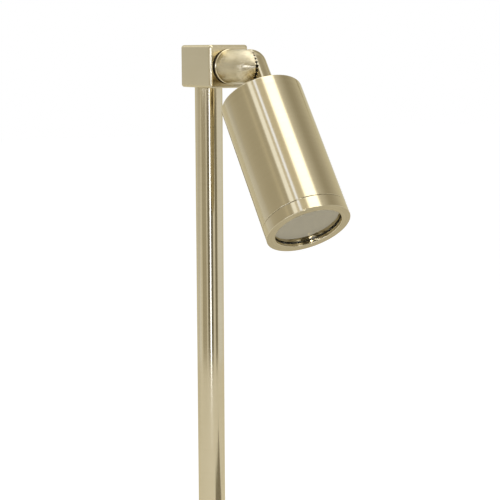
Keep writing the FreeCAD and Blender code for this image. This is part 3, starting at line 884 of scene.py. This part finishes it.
def make_head_shell():
    """Turned housing: closed at the rear, open at the front."""
    hole = stem_r + socket_gap
    rebate_r = head_bore_r + o_ring_rebate
    rebate = seam_at - o_ring_rebate
    corners = [(head_r, 0, head_edge_r), (hole, 0, 0.3), (hole, head_rear_wall, 0),
               (head_bore_r, head_rear_wall, 0.8), (head_bore_r, rebate, 0), (rebate_r, rebate, 0),
               (rebate_r, seam_at, 0.2), (head_r, seam_at, seam_bevel)]
    # Faces inside the bore take the painted shade.
    mesh = refinished(turned(corners, turned_head, upright, 192), painted_shade_inside, inside)
    mesh = refinished(mesh, faced_rear, lambda middle, normal: normal.z < -0.99 and middle.z < 0.1)
    mesh.transform(head_place)
    piece("head_housing", mesh, "head", "brass", "head_shell")


def make_front_ring():
    """Screw-in ring with an inward lip and a thread on its spigot."""
    back = seam_at + seam_gap
    relief = back - thread_relief
    core_radius = spigot_r - thread_depth
    corners = [(head_r, back, seam_bevel), (head_r, head_length, ring_edge_r),
               (opening_r, head_length, opening_bevel), (opening_r, lip_back, 0.2),
               (ring_bore_r, lip_back, 0.2), (ring_bore_r, spigot_back, 0.2), (core_radius, spigot_back, 0.2),
               (core_radius, relief, 0), (spigot_r, relief, 0), (spigot_r, back, 0)]
    mesh = turned(corners, turned_head, upright, 192)
    foot = thread_pitch * ridge_share
    crest = ridge_crest
    outline = [(0, -foot), (thread_depth, -crest), (thread_depth, crest), (0, foot), (-crest, 0)]
    ridge = polyline(outline, True)
    turns = (relief - spigot_back - thread_pitch) / thread_pitch
    screw = thread.run(ridge, turned_head, Radius=core_radius * mm, Pitch=thread_pitch * mm, Turns=turns)
    screw.transform(Matrix.Translation((0, 0, (spigot_back + thread_pitch / 2) * mm)))
    mesh = carved(mesh, tidy(screw), "UNION")
    # Faces inside the bore take the painted shade.
    mesh = refinished(mesh, painted_shade_inside, inside)
    mesh = refinished(mesh, faced_ring, lambda middle, normal: normal.z > 0.99 and middle.z > lip_back + 0.1)
    mesh.transform(head_place)
    piece("front_bezel", mesh, "ring", "brass", "front_ring")


def make_lens():
    """Flat glass and the black gasket in front of it."""
    corners = [(0, glass_back, 0), (glass_r, glass_back, 0.3),
               (glass_r, gasket_back, 0.3), (0, gasket_back, 0)]
    mesh = refinished(turned(corners, glass), coated_glass, lambda middle, normal: normal.z > 0.99)
    mesh.transform(head_place)
    piece("front_glass", mesh, "lens", "glass", "lens_glass")
    corners = [(gasket_inner_r, gasket_back, 0.3), (glass_r, gasket_back, 0), (glass_r, gasket_front, 0),
               (gasket_inner_r, gasket_front, 0.3)]
    piece("glass_gasket", turned(corners, black_rubber, head_place), "lens", "seal_rubber", "lens_gasket")


make_pole()
make_block()
make_lock_nut()
make_spike()
make_grommet()
make_knuckle_base()
make_knuckle_head()
make_seals()
make_head_shell()
make_front_ring()
make_lens()

# Finishes of the nodes that show as they are
node_finish = {
    "grub_screw": steel, "clamp_screw": steel, "clamp_washer": steel, "holder_posts": steel,
    "holder_plate": steel, "holder_screws": steel, "lamp_pins": steel, "supply_lead": lead_sheath,
    "head_wires": wire_sheath, "stem_nut": turned_head, "lamp_holder": ceramic, "lamp_body": casing,
    "lamp_lens": diffuser, "led_module": light_source, "ring_seal": black_rubber,
}
for node, finish in node_finish.items():
    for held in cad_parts[node].material_slots:
        held.material = finish

# Camera, from the fit of the part's outlines to the photograph: pixels of a 500 by 500 picture
picture = 500
focal = 1343.512
yaw = math.radians(-27.955)
pitch = math.radians(8.479)
roll = math.radians(-0.213)
reach = 1.030522
block_pixel = (208.436, 66.053)
sensor = 36.0


def direction(azimuth, elevation):
    """A unit vector: azimuth from -Y towards +X, in radians."""
    flat = math.cos(elevation)
    return Vector((math.sin(azimuth) * flat, -math.cos(azimuth) * flat, math.sin(elevation)))


def camera_place():
    """The camera's place and turn in the photograph."""
    back = direction(yaw, pitch)
    level = Vector((math.cos(yaw), math.sin(yaw), 0))
    rise = back.cross(level)
    right = level * math.cos(roll) + rise * math.sin(roll)
    up = rise * math.cos(roll) - level * math.sin(roll)
    across = (block_pixel[0] - picture / 2) / focal * reach
    above = (picture / 2 - block_pixel[1]) / focal * reach
    block_centre = Vector((0, 0, block_mid * mm))
    turn = Matrix((right, up, back)).transposed().to_4x4()
    return Matrix.Translation(block_centre - right * across - up * above + back * reach) @ turn


def make_camera():
    """Camera with the photograph's lens."""
    data = bpy.data.cameras.new("camera")
    data.sensor_width = sensor
    data.lens = focal * sensor / picture
    made = bpy.data.objects.new("camera", data)
    made.matrix_world = camera_place()
    bpy.context.scene.collection.objects.link(made)
    bpy.context.scene.camera = made


# Studio
floor_z = spike_tip * mm
head_middle = head_place @ Vector((0, 0, head_length / 2 * mm))
lamp_axis = (head_place.to_3x3() @ Vector((0, 0, 1))).normalized()
upright_distance = 1.9
hoop_distance = 1.6
hoop_half = 0.75
flag_setback = 0.1
fill_light = 0.7
floor_white = 0.87
floor_fleck = 0.85
floor_lift = 1.02 - floor_white * fill_light
floor_card_z = floor_z + 0.005
floor_half = 9000.0
floor_t = 20.0
daylight = (1.0, 1.05, 1.2, 1)
cool = (1.0, 1.12, 1.58, 1)
warm_grey = (1.0, 0.955, 0.84, 1)


def fade(run, soft_from, soft_to):
    """A share that climbs from 0 to 1 and falls again over the soft ends of a run from 0 to 1."""
    least = 0.001
    climb = (run * (1 / max(soft_from, least))).at_most(1.0)
    fall = ((1 - run) * (1 / max(soft_to, least))).at_most(1.0)
    return climb * fall


def glow(name, colour, tone, soft_from, soft_to, soft_ends):
    """A card's material: an even light that fades out over a share of its width and length."""
    finish = Finish(name)
    shine = finish.node("ShaderNodeEmission", {}, {"Color": colour, "Strength": tone})
    clear = finish.node("ShaderNodeBsdfTransparent", {}, {})
    u, v = finish.axes(finish.node("ShaderNodeTexCoord", {}, {}, "UV"))[:2]
    share = fade(u, soft_from, soft_to) * fade(v, soft_ends, soft_ends)
    smooth = share * share * (3 - 2 * share)
    mixed = finish.node("ShaderNodeMixShader", {}, {0: smooth, 1: clear, 2: shine})
    finish.node("ShaderNodeOutputMaterial", {}, {"Surface": mixed})
    return finish.material


def card(name, low_edge, high_edge, finish, lights):
    """A studio card between two edges that only reflections see, unless it lights the object."""
    count = len(low_edge)
    mesh = bpy.data.meshes.new(name)
    faces = [(i, i + 1, count + i + 1, count + i) for i in range(count - 1)]
    mesh.from_pydata(low_edge + high_edge, [], faces)
    spots = mesh.uv_layers.new(name="UVMap").uv
    for corner in mesh.loops:
        i = corner.vertex_index
        spots[corner.index].vector = ((i % count) / (count - 1), i // count)
    mesh.materials.append(finish)
    made = bpy.data.objects.new(name, mesh)
    bpy.context.scene.collection.objects.link(made)
    made.visible_camera = False
    made.visible_shadow = False
    made.visible_diffuse = lights


def upright_card(name, azimuth_from, azimuth_to, low, high, colour, tone, soft=0.0, lights=False):
    """An upright card between two azimuths in degrees and two heights."""
    steps = 8
    low_edge = []
    high_edge = []
    for i in range(steps + 1):
        azimuth = math.radians(azimuth_from + (azimuth_to - azimuth_from) * i / steps)
        side = direction(azimuth, 0) * upright_distance
        low_edge.append((side.x, side.y, low))
        high_edge.append((side.x, side.y, high))
    card(name, low_edge, high_edge, glow(name, colour, tone, soft, soft, 0), lights)


def hoop_card(name, turn_from, turn_to, colour, tone, soft_from=0.0, soft_to=0.0, lights=False):
    """A card bent round the lamp's axis, flags behind softboxes; turn 0 is what the head's middle mirrors."""
    back = (camera_place().to_translation() - head_middle).normalized()
    square = (back - back.dot(lamp_axis) * lamp_axis).normalized()
    mirrored = 2 * square.dot(back) * square - back
    distance = hoop_distance if lights else hoop_distance + flag_setback
    steps = 24
    low_edge = []
    high_edge = []
    for i in range(steps + 1):
        turn = math.radians(turn_from + (turn_to - turn_from) * i / steps)
        middle = head_middle + Matrix.Rotation(-turn, 3, lamp_axis) @ mirrored * distance
        low_edge.append(middle + lamp_axis * hoop_half)
        high_edge.append(middle - lamp_axis * hoop_half)
    card(name, low_edge, high_edge, glow(name, colour, tone, soft_from, soft_to, 0.25), lights)


def level_card(name, low, high, height, colour, tone, soft):
    """A level card between two corners at one height."""
    low_edge = [(low[0], low[1], height), (high[0], low[1], height)]
    high_edge = [(low[0], high[1], height), (high[0], high[1], height)]
    card(name, low_edge, high_edge, glow(name, colour, tone, soft, soft, soft), False)


# Cards that the brass mirrors: degrees round the object or the lamp's axis, then heights in metres
flag_top = 0.425
edge_low = 0.435
eye_high = 0.51
card_low = 0.60
card_top = 0.90
flag_high = 1.1
upright_card("back_left_flag", -176, -132, flag_top, card_top, daylight, 0.96, 0.15)
upright_card("left_card", -157, -110, floor_z, flag_top, daylight, 1.15, 0.05)
upright_card("left_flag", -97, -52, floor_z, flag_top, warm_grey, 0.60, 0.15)
upright_card("edge_softbox", -86, -66, edge_low, eye_high, daylight, 1.5)
upright_card("edge_flag", -65, -28, edge_low, 0.49, warm_grey, 0.6)
upright_card("eye_level_softbox", -80, -48, eye_high, 0.77, cool, 4.8)
upright_card("near_eye_softbox", -48, -27, eye_high, card_low, cool, 5.0)
upright_card("near_left_flag", -45.2, -24.9, floor_z, flag_top, warm_grey, 0.31)
upright_card("strip_softbox", -24.8, -18.2, floor_z, flag_top, cool, 4.6, 0.0, True)
upright_card("near_right_flag", -18.1, 1, floor_z, flag_top, warm_grey, 0.25)
upright_card("right_flag", 17, 40.5, floor_z, flag_top, warm_grey, 0.33, 0.1)
upright_card("right_card", 42, 112, floor_z, flag_top, daylight, 1.08, 0.1)
upright_card("camera_left_flag", -48, -27, card_low, flag_high, warm_grey, 0.25, 0.1)
upright_card("glint_softbox", -26.9, -21.9, card_low, 0.80, daylight, 25.0)
upright_card("camera_right_flag", -21.8, 3, eye_high, flag_high, warm_grey, 0.25, 0.1)
upright_card("blob_softbox", 6, 17, 0.72, 0.86, daylight, 3.0)
upright_card("dome_softbox", 2, 22, 1.25, 3.8, daylight, 6.0, 0.15)
upright_card("rear_flag", 112, 142, 1.0, 2.5, warm_grey, 0.55, 0.1)
upright_card("rear_softbox", -178, -135, 1.25, 3.4, daylight, 1.9, 0.2)
hoop_card("upper_left_flag", -150, -22, warm_grey, 0.65, 0.7, 0.01)
hoop_card("left_glow", -48, -26, warm_grey, 0.78, 0.5, 0.5, True)
hoop_card("middle_flag", -12, 18, warm_grey, 0.95)
hoop_card("window_softbox", -21.6, -10.2, daylight, 1.6, 0.1, 0.1, True)
hoop_card("slit_softbox", -5.0, 1.8, cool, 1.7, 0.15, 0.15, True)
hoop_card("top_softbox", 16.0, 55.5, (1.0, 1.01, 1.06, 1), 3.1, 0.22, 0.22, True)
hoop_card("upper_right_flag", 46, 145, warm_grey, 0.55, 0.4, 0.6)
level_card("under_flag", (0.0, -0.35), (0.75, 0.5), floor_card_z, (1, 1, 1, 1), 0.88, 0.1)
level_card("near_floor_flag", (0.05, -1.1), (0.9, -0.36), floor_card_z, warm_grey, 0.35, 0.1)
level_card("overhead_softbox", (-0.46, -0.35), (0.57, 2.2), 2.0, daylight, 2.6, 0.05)


def looked_at(graph):
    """1 for rays that show the background: straight, mirrored or through glass."""
    path = graph.node("ShaderNodeLightPath", {}, {}, "Is Camera Ray")
    return (path + path.out("Is Glossy Ray") + path.out("Is Transmission Ray")).at_most(1.0)


def make_floor():
    """Pale floor that keeps the shadow, a little lifted towards white where it is looked at."""
    finish = Finish("floor_paint")
    fleck = finish.grain(finish.place(), 40.0, 3.0)
    pale, flecked = [(grey, grey, grey, 1) for grey in (floor_white, floor_fleck)]
    colour = finish.blend(fleck, pale, flecked)
    matt = finish.node("ShaderNodeBsdfDiffuse", {}, {"Color": colour})
    strength = looked_at(finish) * floor_lift
    lift = finish.node("ShaderNodeEmission", {}, {"Color": (1, 1, 1, 1), "Strength": strength})
    both = finish.node("ShaderNodeAddShader", {}, {0: matt, 1: lift})
    finish.node("ShaderNodeOutputMaterial", {}, {"Surface": both})
    low = (-floor_half, -floor_half, spike_tip - floor_t)
    mesh = box(low, (floor_half, floor_half, spike_tip), finish.material)
    floor = bpy.data.objects.new("floor", mesh)
    bpy.context.scene.collection.objects.link(floor)


def make_world():
    """White wherever the background is looked at, and a plain fill light everywhere else."""
    world = bpy.data.worlds.new("studio")
    world.use_nodes = True
    graph = Graph(world.node_tree)
    graph.tree.nodes.clear()
    strength = fill_light + looked_at(graph) * (1 - fill_light)
    shine = graph.node("ShaderNodeBackground", {}, {"Color": (1, 1, 1, 1), "Strength": strength})
    graph.node("ShaderNodeOutputWorld", {}, {"Surface": shine})
    bpy.context.scene.world = world


make_floor()
make_world()
make_camera()
bpy.context.scene.view_settings.view_transform = "Standard"
